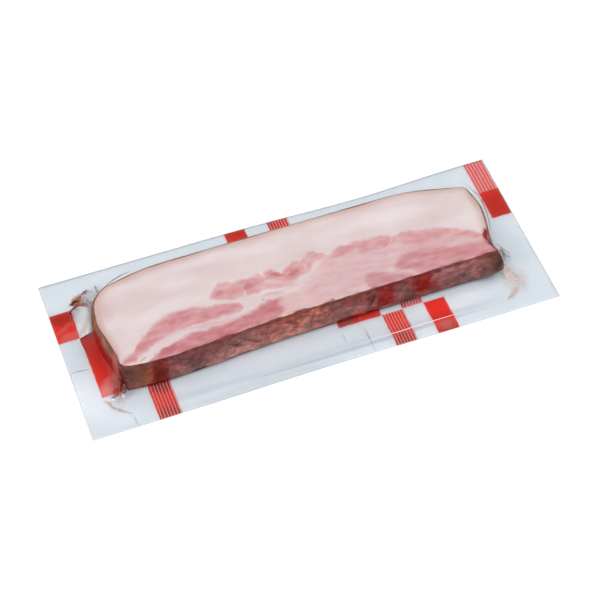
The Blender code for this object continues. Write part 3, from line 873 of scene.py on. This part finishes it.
# Marks in the film's own body and painted light laid into it: the crease's painted highlight and
# the glints, painted shade on its shaded side and outside the crease, and painted light on the
# taut panel. Centre and radii in millimetres, turn, strength and colour.
FILM_MARKS_AND_PAINTED_LIGHT = (
    ("fold in the left margin", -133.5, -9.1, 7.5, 0.5, -4, 0.5, "#8A9198"),
    ("fold across the near margin", 26.1, -45, 0.5, 11, 0, 0.6, "#848B92"),
    ("short fold across the near margin", 13, -39.5, 0.45, 5, 0, 0.3, "#8A9198"),
    ("fold at the near left", -114.1, -51, 0.45, 6, 4, 0.35, "#8A9198"),
    # Painted highlight along the crest of the curl.
    ("painted highlight along the near margin's crease", 54, -46.5, 50, 0.34, 0, 1.3, "#F1EEF0"),
    ("its shaded side", 20, -48.4, 105, 1.8, 0, 0.22, "#8C94A2"),
    ("seal at the right end", 138.7, 0, 1.1, 90, 0, 0.25, "#FFFFFF"),
    # Painted shade where the film outside the crease turns down.
    ("painted shade outside the crease", -40, -52.5, 80, 4.5, 0, 0.1, "#8E9098"),
    ("greyer patch in the right margin", 131, -16, 11, 24, 0, 0.06, "#8E9298"),
    # Painted light over the slab's shadow seen through the panel.
    ("painted light on the taut panel at the left end", -124.4, 13, 6.4, 17, -8, 0.82, "#DEE5EA"),
    ("crumpled corner over the slab's left end", -116.6, -25, 3.6, 7.5, -8, 0.75, "#B4645C"),
    ("glint at the near left corner", -121.6, -34.0, 0.45, 1.5, 35, 3.0, "#FBF6F4"),
    ("second glint there", -119.0, -34.6, 0.45, 1.3, -25, 3.0, "#FBF6F4"),
    ("third glint there", -124.0, -33.8, 1.5, 0.45, 10, 3.0, "#FBF0EA"),
    ("fourth glint there", -116.4, -35.4, 0.9, 0.5, 20, 3.0, "#FBF6F4"),
    ("glint on the ear", -119.4, 33.6, 0.35, 2.4, 20, 3.0, "#FBF8F6"),
    ("second glint on the ear", -113.6, 33.0, 0.3, 3.0, 4, 2.0, "#F8F4F2"),
)

# Meat juice smeared so thin under the film that it only stains it: centre and radii in millimetres,
# turn, strength and colour.
STAINS = (
    ("near right, round the smear", 120.5, -35, 10.5, 14, -12, 0.34, "#DCC2B4"),
    ("near right, by the corner", 118.0, -30, 5.5, 9, 24, 0.6, "#DCC2B4"),
    ("near right, middle", 121.8, -36, 4.2, 9, 6, 0.62, "#DCC2B4"),
    ("near right, tail", 117.6, -43, 3.2, 9.0, -48, 0.5, "#DCC2B4"),
    ("near left, inside the crease", -119.0, -37, 4.0, 5, 10, 0.3, "#E0CCC8"),
    ("near left, outside the crease", -124.4, -34.8, 3.0, 1.4, -30, 0.6, "#D6B4A6"),
    ("ear, fan over the dark pool", -121.8, 38.4, 4.6, 3.8, 15, 0.95, "#AC7058"),
    ("ear, pale body", -114.5, 33, 6.5, 9, 0, 0.35, "#DCC8C2"),
    ("beige tint before the slab", -123, 11, 3.4, 3.6, 0, 0.17, "#DCD0C4"),
)


def printed_film():
    """Gloss vacuum film: a clear sheen over a faint blue milkiness, less where it clings to the
    meat, with translucent red ink that is bright over white and wine dark over the bark, stains of
    meat juice at the corners, and a grey line along its cut edge. Painted highlights and glints,
    painted shade and painted light are laid into the film and into its ink."""
    material, tree = see_through("printed_vacuum_film")
    flat_x, flat_y, past_window, off_slab, to_rim = (
        add(tree, "Attribute", attribute_name=name).outputs["Fac"] for name in FILM_PLACES)
    place = add(tree, "TexCoord").outputs["Object"]
    in_mm = add(tree, "VectorMath", place, named={"Scale": 1.0 / MM}, operation="SCALE")
    plan = add(tree, "SeparateXYZ", in_mm)
    end_y = add(tree, "Math", plan.outputs["Z"], DRAWN_TOWARDS_RIBS, plan.outputs["Y"],
                operation="MULTIPLY_ADD")
    before_ribs = add(tree, "MapRange", plan.outputs["Y"], -32.2, -31.2)
    below_rim = add(tree, "MapRange", plan.outputs["Z"], 21.5, 19.0)
    end_part = add(tree, "Math", before_ribs, below_rim, operation="MULTIPLY")
    waver = add(tree, "TexNoise", named={"Vector": place, "Scale": 1.0 / (4.0 * MM), "Detail": 3.0})
    waver = add(tree, "MapRange", waver, 0.3, 0.7, -1.0, 1.0)

    # The print, block by block, with none of it on the window.
    ink = None
    for where, left, right, low, high, stripes, softness, strength in PRINTED_BLOCKS:
        x, y = (flat_x, end_y) if where == "end" else (plan.outputs["X"], flat_y)
        outside = []
        for axis, start, end in ((x, left, right), (y, low, high)):
            apart = add(tree, "Math", axis, (start + end) / 2, operation="SUBTRACT")
            apart = add(tree, "Math", apart, operation="ABSOLUTE")
            outside.append(add(tree, "Math", apart, (end - start) / 2, operation="SUBTRACT"))
        past = add(tree, "Math", *outside, operation="MAXIMUM")
        past = add(tree, "Math", waver, 0.7 * softness, past, operation="MULTIPLY_ADD")
        block = add(tree, "MapRange", past, softness, -softness, 0.0, strength)
        if stripes:
            turns = add(tree, "Math", x, left, operation="SUBTRACT")
            turns = add(tree, "Math", turns, math.tau * stripes / (right - left), operation="MULTIPLY")
            wave = add(tree, "Math", turns, operation="SINE")
            bars = add(tree, "MapRange", wave, -1.0, -0.6, 0.0, 1.0)
            block = add(tree, "Math", block, bars, operation="MULTIPLY")
        if where == "end":
            block = add(tree, "Math", block, end_part, operation="MULTIPLY")
        ink = block if ink is None else add(tree, "Math", ink, block, operation="MAXIMUM")
    off_window = add(tree, "MapRange", past_window, 0.3, 0.8)
    ink = add(tree, "Math", ink, off_window, operation="MULTIPLY")
    smeared = wandering(tree, place, ((6.0, 3.2), (2.0, 0.8)))
    for _, *oval, strength in HAZE_AND_GLARE:
        paler = flat_oval(tree, smeared, MARGIN_LEVEL, *oval, -strength)
        ink = add(tree, "Math", ink, paler, ink, operation="MULTIPLY_ADD")

    # The film's own body: its milkiness, marks and stains and its cut edge, with painted highlights,
    # glints, painted shade and painted light laid into it.
    milk = linear(MILKINESS)
    share = add(tree, "MapRange", past_window, 27.0, 34.0, 0.004, 0.03)
    for _, *oval, strength, tone in FILM_MARKS_AND_PAINTED_LIGHT:
        mark = flat_oval(tree, place, MARGIN_LEVEL, *oval, strength)
        milk = overlaid(tree, milk, add(tree, "MapRange", mark, 0.0, 0.06), linear(tone))
        share = add(tree, "Math", share, mark, operation="MAXIMUM")
        if strength > 1.0:
            # A painted glint or the painted highlight along the crease shows over the print too.
            beside = add(tree, "MapRange", mark, 0.0, 1.0, 1.0, 0.0)
            ink = add(tree, "Math", ink, beside, operation="MULTIPLY")
    smear = math.radians(60.0)
    drawn_out = add(tree, "Mapping", place, (0.0, 0.0, 0.0), (0.0, 0.0, smear), (0.35, 1.0, 0.6))
    streaks = add(tree, "TexNoise", named={"Vector": drawn_out, "Scale": 1.0 / (1.5 * MM), "Detail": 3.0})
    streaks = add(tree, "MapRange", streaks, 0.35, 0.65, 0.5, 1.15)
    for _, *oval, tone in STAINS:
        stain = flat_oval(tree, smeared, MARGIN_LEVEL, *oval)
        stain = add(tree, "Math", stain, streaks, operation="MULTIPLY")
        milk = overlaid(tree, milk, add(tree, "MapRange", stain, 0.0, 0.06), linear(tone))
        share = add(tree, "Math", share, stain, operation="MAXIMUM")
    edge = add(tree, "MapRange", to_rim, 0.25, 0.75, 0.4, 0.0)
    milk = overlaid(tree, milk, edge, linear("#7C838B"))
    share = add(tree, "Math", share, edge, operation="MAXIMUM")
    clear = clear_film(tree, linear("#F8FAFB"), milk, share)

    # The ink, which tints what is seen through it, darkened in places by painted shade.
    red = linear("#FC7A6E")
    for _, *oval in INK_DEPTH_AND_SHADE:
        depth_and_shade = flat_oval(tree, smeared, MARGIN_LEVEL, *oval)
        red = overlaid(tree, red, depth_and_shade, linear("#D07064"))
    colour_filter = add(tree, "BsdfTransparent", red)
    colour_body = add(tree, "BsdfDiffuse", linear("#E0382C"))
    inked = add(tree, "MixShader", 0.06, colour_filter, colour_body)
    film = add(tree, "MixShader", ink, clear, inked)

    # The gloss, stronger where the film stands off the slab than where it clings.
    wrinkle = add(tree, "TexNoise", named={"Vector": place, "Scale": 1.0 / (5.0 * MM), "Detail": 3.0})
    bump = add(tree, "Bump", named={"Height": wrinkle, "Strength": 0.25, "Distance": 0.4 * MM})
    sheen = add(tree, "BsdfGlossy", (1.0, 1.0, 1.0, 1.0), 0.13, named={"Normal": bump})
    mirror = add(tree, "Fresnel", 1.18, bump)
    standing_off = add(tree, "MapRange", off_slab, 0.0, 2.0, 0.3, 1.0)
    mirror = add(tree, "Math", mirror, standing_off, operation="MULTIPLY")
    return surfaced(material, add(tree, "MixShader", mirror, film, sheen))


def sealing_layer(name, tint, milk_share):
    """The film's polyethylene inner face: almost clear, with no sheen of its own where it clings."""
    material, tree = see_through(name)
    return surfaced(material, clear_film(tree, linear(tint), linear(MILKINESS), milk_share))


def faced_up(form):
    """Turns an open skin over if its upper side isn't its outside."""
    if sum(face.normal.z * face.calc_area() for face in form.faces) < 0.0:
        bmesh.ops.reverse_faces(form, faces=form.faces)


def thicken(piece):
    """Gives a skin its film thickness, inwards from its outer face, with the inner face in the next
    material."""
    wall = piece.modifiers.new("film thickness", "SOLIDIFY")
    wall.thickness = FILM_THICKNESS
    wall.offset = -1.0
    wall.material_offset = 1
    wall.material_offset_rim = 1


film_rows = [film_section(section) for section in sections_round(slab_outline, *FILM_STEPS)]
film_form = skin_of_loops(film_rows, FILM_PLACES)
faced_up(film_form)
off_slab = film_form.verts.layers.float["off_slab"]
for centre, radius in CRUMPLES:
    middle = Vector((*centre, 0.0)) * MM
    near = {v for v in film_form.verts if (v.co.xy - middle.xy).length < radius * MM and v[off_slab] > 0.0}
    edges = [edge for edge in film_form.edges if edge.verts[0] in near and edge.verts[1] in near]
    bmesh.ops.subdivide_edges(film_form, edges=edges, cuts=2, use_grid_fill=True)
for vert in film_form.verts:
    if vert[off_slab] > 0.0:
        vert.co.z += (raised_to_folds(vert.co) - vert.co.z) * smooth(vert[off_slab] / 1.5)
film_surface = BVHTree.FromBMesh(film_form)
front_film = finished_piece(
    "front_film", film_form, (printed_film(), sealing_layer("front_film_sealing_layer", "#FEFEFE", 0.002)))
thicken(front_film)
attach(front_film, "root")
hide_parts("sealed_pack")

# ------------------------------------------------------------------------------------------------
# The meat juice: a little pink-brown brine pressed out of the slab by the vacuum and caught under
# the film, as small pools at the corners and as thin threads in the crests of its folds.
# ------------------------------------------------------------------------------------------------
JUICE_AROUND = 12
JUICE_STEP = 0.8
UNDER_FILM = 0.2 * MM
# Pools: half width and depth in millimetres, strength from faint (0) to dark (1) or beyond, and the
# points of their middle line.
JUICE_POOLS = (
    ("ear, dark pool", 1.5, 0.5, 1.4, ((-127, 37.4), (-124.6, 37.3), (-122.7, 37.6), (-120.5, 38.6),
     (-118.4, 40))),
    ("ear, thin pool", 3.2, 0.3, 0.3, ((-124.6, 40), (-122, 38.8), (-120.4, 36.6), (-119.2, 33.4))),
    ("near left crease", 0.8, 0.2, 0.22, ((-127.6, -32), (-124.9, -35.6), (-124, -38.5),
     (-121.4, -41.1), (-118.6, -43.2), (-115.8, -45.2), (-113.9, -46.4))),
    ("near left corner", 0.9, 0.3, 0.75, ((-113.4, -33.6), (-115.2, -33.2), (-116.6, -31.8),
     (-117.2, -30.2))),
    ("near left, foot", 1.8, 0.3, 0.45, ((-117.4, -29), (-119.6, -31.6), (-121.4, -32))),
    ("near right, along the margin", 0.9, 0.2, 0.16, ((121, -40.6), (118, -42.7), (115.2, -44.7),
     (110.5, -47.2))),
    ("near right, streak", 0.6, 0.2, 0.3, ((118.6, -27.4), (121, -30.6), (122.2, -34.4), (122.4, -38))),
)
# Round threads held in the crests of folds: radius in millimetres, strength and points in space.
JUICE_THREADS = (
    ("ear, arc", 0.55, 0.8, ((-117.9, 13.4, 24), (-118.9, 15.4, 23.4), (-120.8, 18.1, 22),
     (-122.3, 21.4, 19), (-123.9, 25.5, 14), (-125.4, 29.6, 7), (-127, 31.6, 2.2), (-127.9, 31.1, 1.2),
     (-128.4, 28.4, 1.1), (-128.4, 25.6, 1.1), (-128.3, 21, 1.0))),
    ("ear, second line of the arc", 0.25, 0.75, ((-118.2, 15.6, 24), (-119.6, 18.2, 22.6),
     (-121.2, 21.4, 19.6), (-122.4, 24.6, 16))),
    ("ear, dark pool's core", 0.6, 1.4, ((-126, 37.2, 1.2), (-123.3, 37.6, 1.7), (-120.6, 36.8, 2.8))),
    ("ear, first stroke", 0.38, 1.0, ((-118.9, 39.2, 3.6), (-116.6, 40, 5), (-114.4, 40.4, 6))),
    ("ear, second stroke", 0.26, 0.7, ((-118.4, 36.6, 6), (-116.2, 37.6, 7), (-113.9, 38.4, 8))),
    ("ear, middle fold", 0.22, 0.6, ((-117.4, 33, 9.6), (-117.2, 27.6, 13.4), (-118.3, 20.4, 20))),
    ("ear, fin", 0.4, 0.45, ((-110.3, 37.4, 11.4), (-110.5, 34.4, 13.4), (-110.9, 31, 16))),
    ("ear, fin's line", 0.22, 0.6, ((-110.9, 31, 16), (-111.2, 26.7, 20), (-111.1, 23.8, 23.4))),
    ("film's second line outside the rind", 0.24, 0.6, ((-111.1, 22.9, 23.6), (-109.5, 23.3, 24.2),
     (-105.9, 25.6, 24.3), (-102.1, 27.5, 24.3), (-98, 29, 24.3), (-94.3, 29.9, 24.4),
     (-90.6, 30.4, 24.5))),
    ("near left, line down the corner", 0.3, 1.0, ((-114.6, -29.4, 21), (-115.2, -30.4, 15),
     (-115.9, -30.8, 8), (-116.8, -33.4, 4), (-118.4, -34.2, 2.6))),
    ("near left, first kink", 0.3, 1.0, ((-113.6, -33.4, 6), (-115.2, -33.9, 4.2),
     (-116.6, -32.6, 4.6))),
    ("near left, second kink", 0.26, 0.9, ((-117.2, -31.6, 5), (-118.8, -33.2, 3),
     (-120.4, -32.2, 3.2))),
    ("near left, third kink", 0.26, 0.8, ((-119.8, -32.4, 3), (-121.6, -33.6, 2), (-122.8, -32.4, 2))),
    ("near left, fold over the block", 0.22, 0.5, ((-120.6, -20, 7.2), (-119.6, -25, 7),
     (-118.4, -29.6, 5.4))),
    ("near right, end fold", 0.2, 0.55, ((112.4, -21.6, 22), (117.2, -21.2, 15), (121.8, -20.2, 8),
     (125.6, -19.4, 2.4))),
    ("near right, short fold", 0.2, 0.7, ((114.4, -24.4, 19), (116.6, -25.6, 13), (118.2, -27, 8))),
    ("far right, film line", 0.26, 0.5, ((110.4, 24.9, 24.5), (112.9, 23.2, 24.5), (115.4, 17, 24),
     (117, 13.4, 23.4), (117.2, 7.2, 23.2), (116.6, 0.5, 23.2), (114.9, -7, 23.4), (112.7, -15, 23.6))),
)


def stations_along(points):
    """Stations along a line: where each is, the run through it, and its share of the full width,
    which falls to 0 at the line's ends."""
    line = [Vector(point) for point in points]
    places = []
    for start, end in zip(line, line[1:]):
        steps = max(2, round((end - start).length / JUICE_STEP))
        places += [start.lerp(end, k / steps) for k in range(steps)]
    places.append(line[-1])
    last = len(places) - 1
    for i, here in enumerate(places):
        run = places[min(i + 1, last)] - places[max(i - 1, 0)]
        yield here, run, max(0.0, math.sin(math.pi * i / last)) ** 0.5


def juice_pool(half_width, depth, strength, points):
    """A closed flat pool of juice along a line, lying against the film's underside."""
    rows = [[] for _ in range(JUICE_AROUND)]
    for here, run, swell in stations_along(points):
        across = Vector((-run.y, run.x)).normalized()
        swell *= 1.0 + 0.35 * noise.noise(Vector((here.x / 2.0, here.y / 2.0, 1.0)))
        for k, row in enumerate(rows):
            turn = math.tau * k / JUICE_AROUND
            side = (here + across * (half_width * swell * math.cos(turn))) * MM
            above = Vector((side.x, side.y, 1.0))
            hit, normal, _, _ = film_surface.ray_cast(above, Vector((0.0, 0.0, -1.0)))
            under = UNDER_FILM + max(0.0, -math.sin(turn)) * depth * swell * MM
            fullness = strength * math.sin(turn) ** 2 * min(1.0, swell)
            row.append((hit - normal * under, (fullness,)))
    return skin_of_loops(rows, ("fullness",))


def juice_thread(radius, strength, points):
    """A closed round thread of juice along a line in space, tapered at its ends."""
    rows = [[] for _ in range(JUICE_AROUND)]
    for here, run, swell in stations_along(points):
        across = Vector((-run.y, run.x, 0.0)).normalized()
        over = run.normalized().cross(across)
        swell *= 1.0 + 0.3 * noise.noise(here / 2.0)
        for k, row in enumerate(rows):
            turn = math.tau * k / JUICE_AROUND
            point = here + (across * math.cos(turn) + over * math.sin(turn)) * (radius * swell)
            row.append((point * MM, (strength * min(1.0, swell),)))
    return skin_of_loops(rows, ("fullness",))


def meat_juice():
    """Thin brine under film: pink-beige and nearly clear where it is thin, brown where it is deep."""
    material, tree = see_through("meat_juice")
    place = add(tree, "TexCoord").outputs["Object"]
    fullness = add(tree, "Attribute", attribute_name="fullness").outputs["Fac"]
    streaks = add(tree, "TexNoise", named={"Vector": place, "Scale": 1.0 / (1.6 * MM), "Detail": 3.0})
    uneven = add(tree, "MapRange", streaks, 0.35, 0.65, 0.6, 1.25)
    share = add(tree, "Math", fullness, uneven, operation="MULTIPLY")
    tone = add(tree, "ValToRGB", share, stops=(
        (0.05, "#EBD2C0"), (0.35, "#BE7660"), (0.7, "#8A4030"), (1.0, "#3A1A14")))
    cover = add(tree, "MapRange", share, 0.0, 0.7, 0.0, 0.95)
    clear = add(tree, "BsdfTransparent", linear("#FBF4F2"))
    body = add(tree, "BsdfDiffuse", tone)
    return surfaced(material, add(tree, "MixShader", cover, clear, body))


juice_form = bmesh.new()
drop_mesh = bpy.data.meshes.new("juice_drop")
drops = [juice_pool(*pool) for _, *pool in JUICE_POOLS]
drops += [juice_thread(*thread) for _, *thread in JUICE_THREADS]
for drop in drops:
    drop.to_mesh(drop_mesh)
    drop.free()
    juice_form.from_mesh(drop_mesh)
bpy.data.meshes.remove(drop_mesh)
juice = finished_piece("meat_juice_beads", juice_form, (meat_juice(),))
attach(juice, "root")
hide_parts("sealed_pack")

# ------------------------------------------------------------------------------------------------
# The back film: the clear lower web of the pouch, polyamide over polyethylene like the front but a
# little bluer. It lies flat under the slab and is heat sealed to the front film round the edge.
# ------------------------------------------------------------------------------------------------
BACK_FILM_STEPS = (120, 60)
UNDER_SLAB_LOOPS = 10
BACK_MARGIN_LOOPS = 20
SEAL_GAP = 0.04 * MM


def back_film_section(section):
    """Points of the back film's upper face, from the middle out to the pouch's edge."""
    origin, direction, to_slab, to_edge = section
    reach, _, _ = tent_size(origin + direction * to_edge)
    foot = to_slab + reach
    level = pack_low.z + FILM_THICKNESS
    path = [(to_slab * k / UNDER_SLAB_LOOPS, level) for k in range(UNDER_SLAB_LOOPS)]
    for k in range(BACK_MARGIN_LOOPS + 1):
        out = to_slab + (to_edge - to_slab) * k / BACK_MARGIN_LOOPS
        joined = margin_height(origin + direction * out) - FILM_THICKNESS - SEAL_GAP
        path.append((out, level + (joined - level) * smooth((out - to_slab) / (foot - to_slab + 2 * MM))))
    return [(Vector((*(origin + direction * out), z)), ()) for out, z in path]


# Where the lower web is given a lighter tint, which lightens what is seen through it: painted
# light over the slab's shadow under the left end panel and along its foot on the right, and
# elsewhere a lighter film. Centre and radii in millimetres, turn, strength and tint.
LIGHTER_BACK_FILM_PATCHES = (
    ("left margin", -132, -28, 18, 26, 0, 0.85, "#FCFCFD"),
    # Painted light over the slab's shadow under the panel.
    ("painted light under the left end panel", -123, 18, 9, 16, 0, 0.9, "#FCFCFD"),
    ("near left corner", -118, -47, 16, 8, 0, 0.4, "#FCFCFD"),
    # Painted light over the slab's contact shadow.
    ("painted light over the foot's shadow, right", 78, -38, 44, 8, 0, 0.6, "#FCFCFD"),
)


def plain_film():
    """The lower web: clear with a bluish cast that comes and goes a little, lighter in patches,
    partly painted light over the slab's shadows, and a soft sheen.
    """
    material, tree = see_through("clear_back_film")
    place = add(tree, "TexCoord").outputs["Object"]
    cloud = add(tree, "TexNoise", named={"Vector": place, "Scale": 1.0 / (24.0 * MM), "Detail": 3.0})
    tint = add(tree, "ValToRGB", cloud, stops=((0.35, "#EEF1F2"), (0.65, "#F1F3F5")))
    tint = patched(tree, tint, place, pack_low.z / MM, LIGHTER_BACK_FILM_PATCHES)
    film = clear_film(tree, tint, linear(MILKINESS), 0.06)
    sheen = add(tree, "BsdfGlossy", (1.0, 1.0, 1.0, 1.0), 0.2)
    mirror = add(tree, "Fresnel", 1.33)
    return surfaced(material, add(tree, "MixShader", mirror, film, sheen))


back_rows = [back_film_section(section) for section in sections_round(slab_outline, *BACK_FILM_STEPS)]
back_form = skin_of_loops(back_rows, ())
faced_up(back_form)
back_film = finished_piece(
    "back_film", back_form, (plain_film(), sealing_layer("back_film_sealing_layer", "#FDFDFE", 0.01)))
thicken(back_film)
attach(back_film, "root")
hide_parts("sealed_pack")

# ------------------------------------------------------------------------------------------------
# The stage: a plain matt white floor, a pale surround with two large soft lamps, and the camera,
# which looks down on the pack from the front left. None of it is part of the pack.
# ------------------------------------------------------------------------------------------------
FLOOR_GAP = 0.3 * MM
floor_form = bmesh.new()
bmesh.ops.create_grid(floor_form, x_segments=1, y_segments=1, size=3.0)
bmesh.ops.translate(floor_form, verts=floor_form.verts, vec=(0.0, 0.0, pack_low.z - FLOOR_GAP))
white_floor, _, paint = new_material("matt_white_floor")
paint.inputs["Base Color"].default_value = linear("#F7F7F7")
paint.inputs["Roughness"].default_value = 0.9
paint.inputs["Specular IOR Level"].default_value = 0.1
floor = finished_piece("floor", floor_form, (white_floor,))

surround = bpy.data.worlds.new("pale_surround")
surround.use_nodes = True
glow = surround.node_tree.nodes["Background"]
glow.inputs["Color"].default_value = (0.97, 0.98, 1.0, 1.0)
glow.inputs["Strength"].default_value = 0.60
bpy.context.scene.world = surround
bpy.context.scene.view_settings.view_transform = "Standard"
# Light crosses up to a dozen faces of clear film on its way to the floor and back.
bpy.context.scene.cycles.transparent_max_bounces = 32

SOFT_LAMPS = (
    ("key from the front left", (-0.38, -0.42, 0.82), 1.76),
    ("fill from the front right", (0.45, -0.22, 0.86), 0.75),
)
for name, towards, strength in SOFT_LAMPS:
    lamp_data = bpy.data.lights.new(name, "SUN")
    lamp_data.energy = strength
    lamp_data.angle = math.radians(50.0)
    lamp = bpy.data.objects.new(name, lamp_data)
    lamp.location = Vector(towards)
    lamp.rotation_euler = (-lamp.location).to_track_quat("-Z", "Y").to_euler()
    bpy.context.collection.objects.link(lamp)

CAMERA_AZIMUTH = math.radians(-20.48)
CAMERA_ELEVATION = math.radians(53.61)
CAMERA_DISTANCE = 1.051
CAMERA_TARGET = Vector((-1.1, -5.3, 0.0)) * MM
back = Vector((math.sin(CAMERA_AZIMUTH) * math.cos(CAMERA_ELEVATION),
               -math.cos(CAMERA_AZIMUTH) * math.cos(CAMERA_ELEVATION),
               math.sin(CAMERA_ELEVATION)))
camera_data = bpy.data.cameras.new("camera")
camera_data.lens = 109.6
camera_data.sensor_width = 36.0
camera_data.clip_start = 0.05
camera = bpy.data.objects.new("camera", camera_data)
camera.location = CAMERA_TARGET + back * CAMERA_DISTANCE
camera.rotation_euler = (-back).to_track_quat("-Z", "Y").to_euler()
bpy.context.collection.objects.link(camera)
bpy.context.scene.camera = camera
